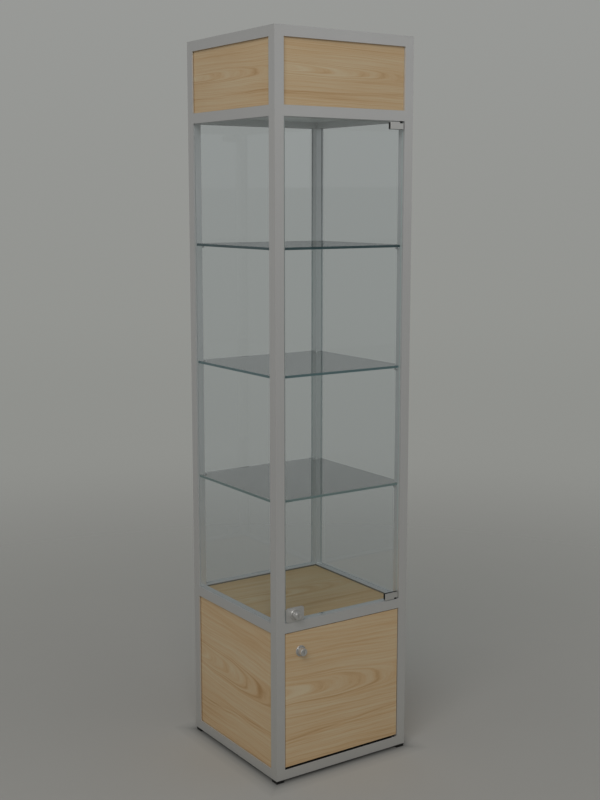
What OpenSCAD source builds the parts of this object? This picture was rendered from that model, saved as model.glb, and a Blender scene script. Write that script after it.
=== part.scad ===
// Free-standing square display case: a lower cupboard with a wooden door, a glazed space
// with a glass door and three glass shelves, and a wooden header box, all in one frame of
// square aluminium profile.
//
// The origin is on the floor at the middle of the footprint. +X points to the right seen
// from the front, +Y to the back and +Z up. The front is the side at -Y.

/* [Case] */
// Width over the posts
case_w = 400; // [340:10:700]
// Depth over the posts
case_d = 400; // [340:10:700]
// Height of the feet under the posts
foot_h = 8; // [4:1:20]
// Distance of the feet from the posts' outside
foot_inset = 1.5; // [0:0.25:1.5]
// Height of the lower cupboard's opening
lower_open_h = 350; // [250:10:600]
// Height of the glazed opening
glass_open_h = 1200; // [1000:10:1500]
// Height of the header's panels between their rails
header_open_h = 150; // [90:5:300]

/* [Profile] */
// Side of the square profile that the posts and rails are made of
profile = 25; // [24:1:40]
// Wall of the profile
profile_wall = 2; // [1.5:0.1:2.4]
// Webs between the profile's grooves and its chambers
profile_web = 1.5; // [1:0.1:1.8]
// Lip between the outer face and the glazing groove
outer_lip = 3; // [2.4:0.1:3.5]
// Width of the glazing groove
groove_w = 6; // [5.8:0.1:6.6]
// Depth of the glazing groove
groove_depth = 8; // [7.9:0.1:9]

/* [Glass] */
// Thickness of the fixed panes
pane_t = 5; // [4:0.1:5.4]
// How far panes and tongues reach into their grooves
edge_cover = 7; // [5:0.1:7.1]
// Thickness of the shelves
shelf_t = 6; // [4:1:10]
// Distance from the panes to the shelves' edges
shelf_gap = 1; // [0.5:0.1:3]
// Distance of the shelves' front edges from the case's front
shelf_front = 14; // [10:0.5:20]
// Gap between a shelf and the posts that it is notched round
shelf_notch_gap = 0.5; // [0.3:0.1:2]
// How far the gaskets stand proud of the profile
gasket_lip = 0.5; // [0.3:0.1:2]
// Diameter of the pins that carry the shelves
shelf_pin_d = 5; // [3:0.5:6]
// How far the shelf pins reach out of the posts
shelf_pin_reach = 8; // [4:0.5:14]

/* [Boards] */
// Thickness of the wooden side, back and header panels
panel_t = 12; // [8:0.5:12]
// Distance from the profile's outer face to the wooden panels
panel_recess = 5; // [4:0.1:6]
// Thickness of the floor board
floor_t = 16; // [10:1:16]
// Distance from the floor board down from the top of the base rails
floor_drop = 1; // [0:0.5:1]
// Thickness of the deck panel between the cupboard and the glazed space
deck_t = 12; // [8:1:12]
// Distance from the deck panel's top to the top of the deck rails
deck_drop = 4; // [0:0.5:5]
// Thickness of the ceiling panel above the glazed space
ceiling_t = 10; // [6:1:20]
// Thickness of the header's top panel
top_t = 12; // [8:1:12]
// Distance from the top panel to the top of the top rails
top_drop = 3; // [0:0.5:5]
// Gap round the floor, deck, ceiling and top boards
board_gap = 0.5; // [0.2:0.1:0.8]
// Width of the angle brackets that carry the boards
bracket_w = 20; // [12:1:30]
// Thickness of the angle brackets
bracket_t = 2; // [1:0.5:3]
// Reach of the angle brackets under a board
bracket_reach = 16; // [10:1:24]
// Height of the angle brackets' upright legs
bracket_leg = 8; // [5:0.5:8]

/* [Hinge side] */
// Distance from the right post to both doors' pivot axes
hinge_inset = 8; // [7.8:0.1:12]
// Play between a pivot flange and the door piece that it carries
thrust_play = 0.3; // [0.1:0.1:0.5]

/* [Glass door] */
// Thickness of the door glass
door_glass_t = 5; // [4:0.1:6]
// Distance from the case's front to the door glass
door_glass_face = 1.5; // [1.3:0.1:2]
// Gap between the door glass and the left post
door_glass_gap = 3; // [1.5:0.1:4]
// How far the door glass reaches past its pivot axis
door_glass_tail = 4; // [2:0.1:4.2]
// Length of the hinge clamps
clamp_l = 40; // [30:1:60]
// Height of the hinge clamps
clamp_h = 17; // [15:1:30]
// Thickness of the hinge clamps
clamp_t = 12; // [11.4:0.1:13]
// How far the hinge clamps reach past the pivot axis
clamp_tail = 4.5; // [4.2:0.1:4.8]
// Gap between a hinge clamp and its rail
clamp_gap = 2.5; // [1.5:0.1:3]
// Web of the hinge clamp under the glass edge
clamp_web = 1.5; // [1:0.1:1.5]
// Corner radius of the hinge clamps
clamp_r = 2; // [1:0.1:3]
// Height of the notch in the hinge clamp that takes the bush
clamp_notch_h = 3; // [2:0.1:3.5]
// Thickness of the liner between clamp and glass
liner_t = 1; // [0.5:0.1:1.2]
// How far the liner shows past the clamp's free end
liner_tail = 1.2; // [0.8:0.1:6]
// How far the liner shows past the clamp's long edge
liner_lip = 0.6; // [0.5:0.1:3]
// Width of the corner cut out of the glass for the pivot, left of the axis
glass_cut_w = 8; // [7.5:0.1:10]
// Height of the corner cut out of the glass for the pivot
glass_cut_h = 8; // [7:0.1:9]
// Diameter of the glass door's pivot pins
glass_pin_d = 3.6; // [3:0.1:3.6]
// Diameter of the glass door's bushes in the rails
glass_bush_d = 5.5; // [5.2:0.1:6]
// Diameter of the glass door's bush flanges
glass_flange_d = 7.6; // [7:0.1:8]

/* [Wooden door] */
// Thickness of the wooden door
wood_door_t = 18; // [15:1:19]
// Distance from the case's front to the wooden door
wood_door_face = 1; // [0.5:0.1:2]
// Gap on the wooden door's left and right
wood_door_gap = 2; // [1.8:0.1:4]
// Gap above the wooden door
wood_door_top_gap = 2; // [1:0.1:4]
// Gap below the wooden door
wood_door_bottom_gap = 5.5; // [2:0.1:6]
// Distance from the wooden door's face to its pivot axis
wood_pivot_depth = 4; // [3.8:0.1:4.5]
// Diameter of the wooden door's pivot pins
wood_pin_d = 4; // [3:0.1:4]
// Length of the pivot pins inside the wooden door
wood_pin_l = 20; // [10:1:40]
// Diameter of the wooden door's bushes in the rails
wood_bush_d = 6.4; // [6:0.1:6.6]
// Diameter of the wooden door's bush flanges
wood_flange_d = 8; // [7:0.1:8.6]

/* [Locks] */
// Diameter of the ring round each lock
ring_d = 28; // [24:1:32]
// Thickness of the ring
ring_t = 2.5; // [1.5:0.1:3]
// Diameter of the lock's nose in front of the ring
nose_d = 19; // [18:0.5:22]
// Length of the lock's nose in front of the ring
nose_l = 14; // [6:0.5:24]
// Diameter of the lock's threaded barrel
barrel_d = 18; // [17:0.5:18.5]
// Diameter of the turning plug
plug_d = 12; // [10:0.5:13]
// Side of the square on the plug that carries the cam
plug_square = 7; // [5:0.5:7]
// Width of the cams
cam_w = 13; // [11:0.5:15]
// Thickness of the cams
cam_t = 2; // [1.5:0.1:2.2]
// How far a thrown cam reaches behind its rail or into it
cam_overlap = 7; // [4:0.5:8]
// Thickness of the nut behind each lock
nut_t = 4; // [3:0.5:5]
// Width of the nut over its flats
nut_w = 24; // [22:1:28]
// Width of the glass door's lock plate
plate_w = 52; // [50:1:60]
// Height of the glass door's lock plate
plate_h = 36; // [34:1:42]
// Thickness of the glass door's lock plate
plate_t = 3; // [2:0.1:3]
// Gap between the lock plate and the deck rail
plate_gap = 1; // [1:0.1:2]
// Corner radius of the lock plate
plate_r = 7; // [2:0.5:10]
// Distance from the wooden door's left edge to its lock
wood_lock_inset = 44; // [30:1:80]
// Distance from the wooden door's top edge to its lock
wood_lock_drop = 50; // [35:1:80]

/* [Stops] */
// Distance from the left post to the door stops
stop_inset = 118; // [100:1:160]
// Width of the door stops
stop_w = 8; // [5:0.5:15]
// Thickness of the glass door's stop
stop_t = 2; // [1.5:0.1:3]
// Height of the glass door's stop above the deck rail
stop_h = 10; // [8:0.5:20]
// Distance from the stop's screw to the case's front
stop_screw_y = 14; // [12:0.5:20]
// Diameter of the stop's screw
stop_screw_d = 2.4; // [2:0.1:3]
// Height of the bumper behind the wooden door
bumper_h = 10; // [5:0.5:20]

/* [Connectors] */
// Diameter of the connectors' studs in the posts
stud_d = 5; // [3:0.1:5.5]
// Length of the studs in the posts
stud_l = 8; // [6:0.5:8]
// Length of the connector blocks in the rails
connector_l = 12; // [8:1:13]
// Thickness of the caps on the posts
cap_t = 2; // [1:0.5:4]
// Length of the plugs of caps and feet in the posts
plug_l = 12; // [6:1:20]

/* [Hidden] */
$fn = 64;

// Clearances: a loose seat, a face of a fitted piece, a shaft in its hole, and a cut's overrun
seat_fit = 0.3;
slip_fit = 0.1;
shaft_fit = 0.05;
over = 1;

SIDES = ["front", "back", "left", "right"];
GLAZED = ["back", "left", "right"];
CORNERS = [[-1, -1], [1, -1], [-1, 1], [1, 1]];

// Levels
base_z = foot_h;
base_top = base_z + profile;
deck_z = base_top + lower_open_h;
deck_top = deck_z + profile;
header_z = deck_top + glass_open_h;
header_top = header_z + profile;
top_z = header_top + header_open_h;
case_h = top_z + profile;
rail_levels = [base_z, deck_z, header_z, top_z];
shelf_count = 3;
shelf_levels = [for (i = [1:shelf_count]) deck_top + i * glass_open_h / (shelf_count + 1) - shelf_t / 2];

// The post's section, measured inward from its outer faces
core_end = profile - groove_depth - profile_web;
inner_start = outer_lip + groove_w + profile_web;
inner_end = profile - profile_wall;
stud_edge = 0.25;
stud_depth = inner_start + stud_d / 2 + stud_edge;

// Places across the case's width
left_face = -case_w / 2 + profile;
right_face = case_w / 2 - profile;
front = -case_d / 2;
hinge_x = right_face - hinge_inset;

// Glass door
door_glass_x0 = left_face + door_glass_gap;
door_glass_x1 = hinge_x + door_glass_tail;
clamp_web_gap = 0.5;
door_glass_end_gap = clamp_gap + clamp_web + clamp_web_gap;
door_glass_z0 = deck_top + door_glass_end_gap;
door_glass_z1 = header_z - door_glass_end_gap;
door_glass_back = door_glass_face + door_glass_t;
glass_axis_y = door_glass_face + door_glass_t / 2;
glass_cut_z = door_glass_z0 + glass_cut_h;
clamp_x1 = hinge_x + clamp_tail;
clamp_x0 = clamp_x1 - clamp_l;
clamp_z0 = deck_top + clamp_gap;
clamp_slot_w = door_glass_t + 2 * liner_t;
notch_top = clamp_z0 + clamp_notch_h;
notch_margin = 4;
notch_w = glass_flange_d / 2 + notch_margin;
glass_bush_l = 6;
bush_floor = 0.5;

// Fixed glass: distances from the outer face to a pane and to the shelves' edges beside the panes
pane_face = outer_lip + (groove_w - pane_t) / 2;
shelf_inset = pane_face + pane_t + shelf_gap;
shelf_pin_edge = 1;
shelf_pin_y = inner_end - shelf_pin_d / 2 - shelf_pin_edge;
shelf_pin_l = 6;

// Wooden door
wood_door_x0 = left_face + wood_door_gap;
wood_door_x1 = right_face - wood_door_gap;
wood_door_z0 = base_top + wood_door_bottom_gap;
wood_door_z1 = deck_z - wood_door_top_gap;
wood_door_back = wood_door_face + wood_door_t;
wood_axis_y = wood_door_face + wood_pivot_depth;
wood_bush_l = 6;

// Stop's screw head
screw_head_h = 1.2;
screw_head_d = 1.8 * stop_screw_d;

// Locks: the y values are measured inward from the case's front
thread_end = 1.5;
cam_end_gap = 1;
plug_recess = 0.5;
edge_break = 0.6;
ring_rim = 2;
ring_dish = 1.2;
cam_play = 0.3;
plate_face = door_glass_face - plate_t;
plate_z0 = deck_top + plate_gap;
glass_lock_x = door_glass_x0 + plate_w / 2;
glass_lock_z = plate_z0 + plate_h / 2;
glass_barrel_end = door_glass_back + nut_t + thread_end;
glass_cam_y = glass_barrel_end + cam_play;
glass_lock_to_post = glass_lock_x - left_face;
glass_lock_to_rail = glass_lock_z - deck_top;
glass_cam_l = min(glass_lock_to_rail + cam_overlap, glass_lock_to_post - cam_end_gap);
wood_lock_x = wood_door_x0 + wood_lock_inset;
wood_lock_z = wood_door_z1 - wood_lock_drop;
wood_cam_y = max(profile + 2 * cam_play, wood_door_back + nut_t + thread_end + cam_play);
wood_barrel_end = wood_cam_y - cam_play;
wood_cam_l = deck_z - wood_lock_z + min(cam_overlap, profile - deck_drop - deck_t - cam_end_gap);

// The slot in the front deck rail that the glass door's cam turns down into
cam_slot_play = 0.8;
cam_slot_margin = 1;
cam_tip_x = glass_lock_x - sqrt(pow(glass_cam_l, 2) - pow(glass_lock_to_rail, 2));
cam_slot_x0 = cam_tip_x - cam_slot_margin;
cam_slot_x1 = glass_lock_x + cam_w / 2 + cam_slot_margin;

// Stops
stop_x = left_face + stop_inset;
stop_face = door_glass_back + seat_fit;

metal = [0.62, 0.62, 0.61];
bright = [0.75, 0.75, 0.74];
timber = [0.86, 0.73, 0.54];
clear_glass = [0.72, 0.86, 0.83, 0.35];
black = [0.08, 0.08, 0.08];
grey = [0.55, 0.55, 0.54];

// ---- helpers ----

function side_length(side) = side == "front" || side == "back" ? case_w : case_d;
function side_turn(side) = side == "front" ? 0 : side == "back" ? 180 : side == "left" ? -90 : 90;
function side_place(side) =
    side == "front" ? [0, -case_d / 2, 0] :
    side == "back" ? [0, case_d / 2, 0] :
    side == "left" ? [-case_w / 2, 0, 0] : [case_w / 2, 0, 0];
function clear_length(side) = side_length(side) - 2 * profile;

// A side's own frame: X along the side from its middle, Y inward from its outer face
module on_side(side) {
    translate(side_place(side)) rotate([0, 0, side_turn(side)]) children();
}

module flip(on, axis) {
    if (on) mirror(axis) children();
    else children();
}

// A corner's own frame: X and Y inward from the post's outer faces
module at_corner(corner) {
    translate([corner[0] * case_w / 2, corner[1] * case_d / 2, 0])
        flip(corner[0] > 0, [1, 0, 0])
            flip(corner[1] > 0, [0, 1, 0])
                children();
}

// A box given by its low and high corners
module box(low, high) {
    translate(low) cube(high - low);
}

// A round bar along Y from y0 to y1, and one along X
module bar_y(d, y0, y1) {
    translate([0, y0, 0]) rotate([-90, 0, 0]) cylinder(h = y1 - y0, d = d);
}

module bar_x(d, x0, x1) {
    translate([x0, 0, 0]) rotate([0, 90, 0]) cylinder(h = x1 - x0, d = d);
}

// A flat outline with its four corners rounded
module rounded_outline(low, high, r) {
    translate([low[0] + r, low[1]]) square([high[0] - low[0] - 2 * r, high[1] - low[1]]);
    translate([low[0], low[1] + r]) square([high[0] - low[0], high[1] - low[1] - 2 * r]);
    for (x = [low[0] + r, high[0] - r], y = [low[1] + r, high[1] - r]) translate([x, y]) circle(r = r);
}

// ---- frame ----

// Section of a post, with glazing grooves in its inner faces where asked for
module post_section(groove_on_x, groove_on_y) {
    difference() {
        square(profile);
        translate([profile_wall, profile_wall]) square(core_end - profile_wall);
        translate([inner_start, inner_start]) square(inner_end - inner_start);
        if (groove_on_x) {
            translate([profile - groove_depth, outer_lip]) square([groove_depth + over, groove_w]);
        }
        if (groove_on_y) {
            translate([outer_lip, profile - groove_depth]) square([groove_w, groove_depth + over]);
        }
    }
}

// A bar along a shelf pin's axis, with the pin's top just under the shelf
module shelf_pin(z, d, x0, x1) {
    translate([0, shelf_pin_y, z - shelf_pin_d / 2 - shaft_fit]) bar_x(d, x0, x1);
}

module post(corner) {
    stud_hole_d = stud_d + 2 * shaft_fit;
    at_corner(corner) difference() {
        translate([0, 0, foot_h])
            linear_extrude(case_h - cap_t - foot_h)
                post_section(corner[1] > 0, true);
        for (z = rail_levels) {
            translate([0, stud_depth, z + profile / 2])
                bar_x(stud_hole_d, inner_end - over, profile + over);
            translate([stud_depth, 0, z + profile / 2])
                bar_y(stud_hole_d, inner_end - over, profile + over);
        }
        for (z = shelf_levels) {
            shelf_pin(z, shelf_pin_d + 2 * shaft_fit, inner_end - over, profile + over);
        }
    }
}

module post_front_left() { color(metal) post([-1, -1]); }
module post_front_right() { color(metal) post([1, -1]); }
module post_back_left() { color(metal) post([-1, 1]); }
module post_back_right() { color(metal) post([1, 1]); }

// Section of a rail: X inward from its outer face, Y up
module rail_section(groove_top, groove_bottom) {
    groove_end = outer_lip + groove_w;
    web_depth = groove_depth + profile_web;
    difference() {
        square(profile);
        difference() {
            translate([profile_wall, profile_wall]) square(profile - 2 * profile_wall);
            if (groove_top) {
                translate([0, profile - web_depth]) square([groove_end + profile_web, web_depth]);
            }
            if (groove_bottom) square([groove_end + profile_web, web_depth]);
        }
        if (groove_top) {
            translate([outer_lip, profile - groove_depth]) square([groove_w, groove_depth + over]);
        }
        if (groove_bottom) translate([outer_lip, -over]) square([groove_w, groove_depth + over]);
    }
}

module rail(side, z, groove_top, groove_bottom) {
    on_side(side)
        translate([-clear_length(side) / 2, 0, z])
            rotate([90, 0, 90])
                linear_extrude(clear_length(side))
                    rail_section(groove_top, groove_bottom);
}

// Holes for a bush, centred on the pivot axis
module glass_bush_hole(z0, z1) {
    translate([hinge_x, front + glass_axis_y, z0]) cylinder(h = z1 - z0, d = glass_bush_d + 2 * shaft_fit);
}

module wood_bush_hole(z0, z1) {
    translate([hinge_x, front + wood_axis_y, z0]) cylinder(h = z1 - z0, d = wood_bush_d + 2 * shaft_fit);
}

module base_rail_front() {
    color(metal) difference() {
        rail("front", base_z, false, false);
        wood_bush_hole(base_top - wood_bush_l - bush_floor, base_top + over);
    }
}

module base_rail(side) { color(metal) rail(side, base_z, true, false); }
module base_rail_back() { base_rail("back"); }
module base_rail_left() { base_rail("left"); }
module base_rail_right() { base_rail("right"); }

module deck_rail_front() {
    color(metal) difference() {
        rail("front", deck_z, false, false);
        glass_bush_hole(deck_top - glass_bush_l - bush_floor, deck_top + over);
        wood_bush_hole(deck_z - over, deck_z + wood_bush_l + bush_floor);
        translate([stop_x, front + stop_screw_y, deck_top - profile_wall - over])
            cylinder(h = profile_wall + 2 * over, d = stop_screw_d + 2 * shaft_fit);
        box([cam_slot_x0, front + glass_cam_y - cam_slot_play, deck_top - profile_wall - over],
            [cam_slot_x1, front + glass_cam_y + cam_t + cam_slot_play, deck_top + over]);
    }
}

module deck_rail(side) { color(metal) rail(side, deck_z, true, true); }
module deck_rail_back() { deck_rail("back"); }
module deck_rail_left() { deck_rail("left"); }
module deck_rail_right() { deck_rail("right"); }

module header_rail_front() {
    color(metal) difference() {
        rail("front", header_z, true, false);
        glass_bush_hole(header_z - over, header_z + glass_bush_l + bush_floor);
    }
}

module header_rail(side) { color(metal) rail(side, header_z, true, true); }
module header_rail_back() { header_rail("back"); }
module header_rail_left() { header_rail("left"); }
module header_rail_right() { header_rail("right"); }

module top_rail(side) { color(metal) rail(side, top_z, false, true); }
module top_rail_front() { top_rail("front"); }
module top_rail_back() { top_rail("back"); }
module top_rail_left() { top_rail("left"); }
module top_rail_right() { top_rail("right"); }

// The square plug of a cap or foot in the post's core chamber
module core_plug(z0, z1) {
    low = profile_wall + slip_fit;
    high = core_end - slip_fit;
    box([low, low, z0], [high, high, z1]);
}

module post_caps() {
    color(metal) for (corner = CORNERS) at_corner(corner) {
        box([0, 0, case_h - cap_t], [profile, profile, case_h]);
        core_plug(case_h - cap_t - plug_l, case_h - cap_t);
    }
}

module feet() {
    color(black) for (corner = CORNERS) at_corner(corner) {
        box([foot_inset, foot_inset, 0], [profile - foot_inset, profile - foot_inset, foot_h]);
        core_plug(foot_h, foot_h + plug_l);
    }
}

// A block in each rail's end, with a stud through the post's wall
module connector(side, z) {
    end = clear_length(side) / 2;
    for (hand = [0, 1]) on_side(side) mirror([hand, 0, 0]) {
        box([end - connector_l, inner_start + slip_fit, z + profile_wall + slip_fit],
            [end, profile - profile_wall - slip_fit, z + profile - profile_wall - slip_fit]);
        translate([0, stud_depth, z + profile / 2]) bar_x(stud_d, end - over, end + stud_l);
    }
}

module corner_connectors() {
    color(bright) for (side = SIDES, z = rail_levels) connector(side, z);
}

// ---- boards ----

// A panel between posts and rails, with a tongue in the grooves. side_cover is how far the
// tongue reaches into the posts.
module grooved_panel(side, z0, z1, side_cover) {
    half = clear_length(side) / 2;
    tongue_end = outer_lip + groove_w - slip_fit * 2;
    on_side(side) {
        box([-half + seat_fit, panel_recess, z0 + seat_fit],
            [half - seat_fit, panel_recess + panel_t, z1 - seat_fit]);
        box([-half - side_cover, panel_recess, z0 - edge_cover],
            [half + side_cover, tongue_end, z1 + edge_cover]);
    }
}

module lower_panel(side) { color(timber) grooved_panel(side, base_top, deck_z, edge_cover); }
module lower_panel_left() { lower_panel("left"); }
module lower_panel_right() { lower_panel("right"); }
module lower_panel_back() { lower_panel("back"); }

module header_panel(side, side_cover) { color(timber) grooved_panel(side, header_top, top_z, side_cover); }
module header_panel_front() { header_panel("front", -seat_fit); }
module header_panel_back() { header_panel("back", edge_cover); }
module header_panel_left() { header_panel("left", edge_cover); }
module header_panel_right() { header_panel("right", edge_cover); }

// A level board that fills the space inside the rails
module board(z0, t) {
    inset = profile + board_gap;
    box([-case_w / 2 + inset, -case_d / 2 + inset, z0], [case_w / 2 - inset, case_d / 2 - inset, z0 + t]);
}

floor_z = base_top - floor_drop - floor_t;
deck_panel_z = deck_top - deck_drop - deck_t;
top_panel_z = case_h - top_drop - top_t;

module floor_board() { color(timber) board(floor_z, floor_t); }
module deck_panel() { color(timber) board(deck_panel_z, deck_t); }
module ceiling_panel() { color(grey) board(header_top - ceiling_t, ceiling_t); }
module top_panel() { color(timber) board(top_panel_z, top_t); }

// An angle that is fixed to a rail's inner face and carries a board from below
module board_bracket(side, board_z) {
    on_side(side) {
        box([-bracket_w / 2, profile, board_z - bracket_leg], [bracket_w / 2, profile + bracket_t, board_z]);
        box([-bracket_w / 2, profile, board_z - bracket_t],
            [bracket_w / 2, profile + bracket_reach, board_z]);
    }
}

// An angle that lies on a header rail against its panel, and holds the ceiling from above
module ceiling_hanger(side) {
    back = panel_recess + panel_t;
    on_side(side) {
        box([-bracket_w / 2, back, header_top],
            [bracket_w / 2, back + bracket_t, header_top + 2 * bracket_leg]);
        box([-bracket_w / 2, back, header_top],
            [bracket_w / 2, profile + bracket_reach, header_top + bracket_t]);
    }
}

module board_brackets() {
    color(bright) for (side = SIDES) {
        for (z = [floor_z, deck_panel_z, top_panel_z]) board_bracket(side, z);
        ceiling_hanger(side);
    }
}

// ---- fixed glass ----

// A pane in its grooves, grown by a margin along its edges and on its faces
module pane_body(side, edge, face) {
    half = clear_length(side) / 2 + edge_cover + edge;
    on_side(side)
        box([-half, pane_face - face, deck_top - edge_cover - edge],
            [half, pane_face + pane_t + face, header_z + edge_cover + edge]);
}

module pane(side) { color(clear_glass) pane_body(side, 0, 0); }
module pane_left() { pane("left"); }
module pane_right() { pane("right"); }
module pane_back() { pane("back"); }

// A channel round each pane's edge, with a thin lip that stands out of the groove
module gasket(side) {
    half = clear_length(side) / 2 - gasket_lip;
    edge_wall = (groove_depth - edge_cover) / 2;
    face_wall = (groove_w - pane_t) / 2 - shaft_fit;
    difference() {
        pane_body(side, edge_wall, face_wall);
        pane_body(side, 0, 0);
        on_side(side)
            box([-half, 0, deck_top + gasket_lip], [half, profile, header_z - gasket_lip]);
    }
}

module glazing_gaskets() { color(grey) for (side = GLAZED) gasket(side); }

// A shelf that reaches close to the panes and is notched round the four posts
module shelf(z) {
    notch = profile + shelf_notch_gap;
    color(clear_glass) difference() {
        box([-case_w / 2 + shelf_inset, front + shelf_front, z],
            [case_w / 2 - shelf_inset, case_d / 2 - shelf_inset, z + shelf_t]);
        for (corner = CORNERS) at_corner(corner)
            box([-over, -over, z - over], [notch, notch, z + shelf_t + over]);
    }
}

module shelf_lower() { shelf(shelf_levels[0]); }
module shelf_middle() { shelf(shelf_levels[1]); }
module shelf_upper() { shelf(shelf_levels[2]); }

// Pins in the posts' inner faces, one under each shelf's corner
module shelf_supports() {
    color(bright) for (corner = CORNERS, z = shelf_levels) {
        at_corner(corner)
            shelf_pin(z, shelf_pin_d, profile - shelf_pin_l, profile + shelf_pin_reach);
    }
}

// ---- pivots and stops ----

// A flanged bush that stands on z, with its body below and its flange above
module bush(z, y, pin_d, body_d, body_l, flange_d, flange_h) {
    translate([hinge_x, front + y, z]) difference() {
        union() {
            translate([0, 0, -body_l]) cylinder(h = body_l, d = body_d);
            cylinder(h = flange_h, d = flange_d);
        }
        translate([0, 0, -body_l - over])
            cylinder(h = body_l + flange_h + 2 * over, d = pin_d + 2 * shaft_fit);
    }
}

// The same things at the glass door's foot and, upside down, at its head
module glass_door_ends() {
    children();
    translate([0, 0, deck_top + header_z]) mirror([0, 0, 1]) children();
}

module pivot_bushes() {
    flange_h = clamp_gap + clamp_notch_h - thrust_play;
    color(black) {
        glass_door_ends()
            bush(deck_top, glass_axis_y, glass_pin_d, glass_bush_d, glass_bush_l, glass_flange_d, flange_h);
        bush(base_top, wood_axis_y, wood_pin_d, wood_bush_d, wood_bush_l, wood_flange_d,
            wood_door_bottom_gap - thrust_play);
        translate([0, 0, 2 * deck_z]) mirror([0, 0, 1])
            bush(deck_z, wood_axis_y, wood_pin_d, wood_bush_d, wood_bush_l, wood_flange_d,
                wood_door_top_gap - thrust_play);
    }
}

// An angle behind the glass door with its screw, and a bumper behind the wooden door
module door_stops() {
    color(grey) translate([stop_x, front, 0]) {
        difference() {
            union() {
                box([-stop_w / 2, stop_face, deck_top], [stop_w / 2, profile - over, deck_top + stop_t]);
                box([-stop_w / 2, stop_face, deck_top], [stop_w / 2, stop_face + stop_t, deck_top + stop_h]);
            }
            translate([0, stop_screw_y, deck_top - over])
                cylinder(h = stop_t + 2 * over, d = stop_screw_d + 2 * shaft_fit);
        }
        translate([0, stop_screw_y, deck_top - profile_wall - over])
            cylinder(h = profile_wall + over + stop_t, d = stop_screw_d);
        translate([0, stop_screw_y, deck_top + stop_t]) cylinder(h = screw_head_h, d = screw_head_d);
        box([-stop_w / 2, wood_door_back + seat_fit, deck_z - bumper_h], [stop_w / 2, profile, deck_z]);
    }
}

// ---- glass door ----

module glass_door() {
    color(clear_glass) difference() {
        box([door_glass_x0, front + door_glass_face, door_glass_z0],
            [door_glass_x1, front + door_glass_back, door_glass_z1]);
        glass_door_ends()
            box([hinge_x - glass_cut_w, front, door_glass_z0 - over],
                [door_glass_x1 + over, front + profile, glass_cut_z]);
        translate([glass_lock_x, front, glass_lock_z]) bar_y(barrel_d + 1, 0, profile);
    }
}

// What lies inside a clamp: the glass with its liner. margin is its growth beyond the glass at
// the corner cut-out, half_t is half its thickness, and tail, lip and nose reach past the clamp.
module clamp_filling(margin, half_t, tail, lip, nose) {
    y0 = front + glass_axis_y - half_t;
    y1 = front + glass_axis_y + half_t;
    top = clamp_z0 + clamp_h + lip;
    box([clamp_x0 - tail, y0, clamp_z0 + clamp_web + seat_fit - margin],
        [hinge_x - glass_cut_w + margin, y1, top]);
    box([clamp_x0 - tail, y0, glass_cut_z - margin], [clamp_x1 + nose, y1, top]);
}

module hinge_clamps() {
    color(bright) glass_door_ends() difference() {
        translate([0, 0, clamp_z0]) linear_extrude(clamp_h)
            rounded_outline([clamp_x0, front + glass_axis_y - clamp_t / 2],
                            [clamp_x1, front + glass_axis_y + clamp_t / 2], clamp_r);
        clamp_filling(seat_fit, clamp_slot_w / 2, over, over, over);
        box([hinge_x - notch_w, front - profile, clamp_z0 - over],
            [clamp_x1 + over, front + profile, notch_top]);
        translate([hinge_x, front + glass_axis_y, notch_top - over])
            cylinder(h = glass_cut_z - notch_top + over, d = glass_pin_d + 2 * shaft_fit);
    }
}

module clamp_liners() {
    color(black) glass_door_ends() difference() {
        clamp_filling(seat_fit - shaft_fit, clamp_slot_w / 2 - shaft_fit, liner_tail, liner_lip, 0);
        glass_door();
    }
}

module glass_door_pins() {
    z0 = deck_top - glass_bush_l;
    color(bright) glass_door_ends()
        translate([hinge_x, front + glass_axis_y, z0]) cylinder(h = glass_cut_z - over - z0, d = glass_pin_d);
}

// ---- locks ----

// A round bar along Y from y0 to y1 with its edge at y0 broken
module eased_bar_y(d, y0, y1) {
    translate([0, y0, 0]) rotate([-90, 0, 0]) {
        cylinder(h = edge_break, d1 = d - 2 * edge_break, d2 = d);
        translate([0, 0, edge_break]) cylinder(h = y1 - y0 - edge_break, d = d);
    }
}

// Ring with a dished face, nose and threaded barrel with the plug's bore. The ring's back is
// at y = seat.
module lock_barrel(seat, end) {
    difference() {
        union() {
            difference() {
                eased_bar_y(ring_d, seat - ring_t, seat);
                bar_y(ring_d - 2 * ring_rim, seat - ring_t - over, seat - ring_t + ring_dish);
            }
            eased_bar_y(nose_d, seat - ring_t - nose_l, seat);
            bar_y(barrel_d, seat, end);
        }
        bar_y(plug_d + 2 * shaft_fit, seat - ring_t - nose_l - over, end + over);
    }
}

// Plug with a keyway in its face and a square behind it for the cam
module lock_plug(seat, cam_y) {
    keyway_w = 1.6;
    keyway_h = 8;
    keyway_depth = 4;
    face = seat - ring_t - nose_l + plug_recess;
    difference() {
        union() {
            bar_y(plug_d, face, cam_y - cam_play / 2);
            box([-plug_square / 2, cam_y - over, -plug_square / 2],
                [plug_square / 2, cam_y + cam_t + cam_play, plug_square / 2]);
        }
        box([-keyway_w / 2, face - over, -keyway_h / 2], [keyway_w / 2, face + keyway_depth, keyway_h / 2]);
    }
}

// Cam that points up, with a round end
module lock_cam(cam_y, length) {
    hole = plug_square + 2 * shaft_fit;
    difference() {
        union() {
            bar_y(cam_w + 4, cam_y, cam_y + cam_t);
            box([-cam_w / 2, cam_y, 0], [cam_w / 2, cam_y + cam_t, length - cam_w / 2]);
            translate([0, 0, length - cam_w / 2]) bar_y(cam_w, cam_y, cam_y + cam_t);
        }
        box([-hole / 2, cam_y - over, -hole / 2], [hole / 2, cam_y + cam_t + over, hole / 2]);
    }
}

module lock_nut(y) {
    difference() {
        translate([0, y, 0]) rotate([-90, 0, 0]) cylinder(h = nut_t, d = nut_w / cos(30), $fn = 6);
        bar_y(barrel_d + 2 * shaft_fit, y - over, y + nut_t + over);
    }
}

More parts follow.
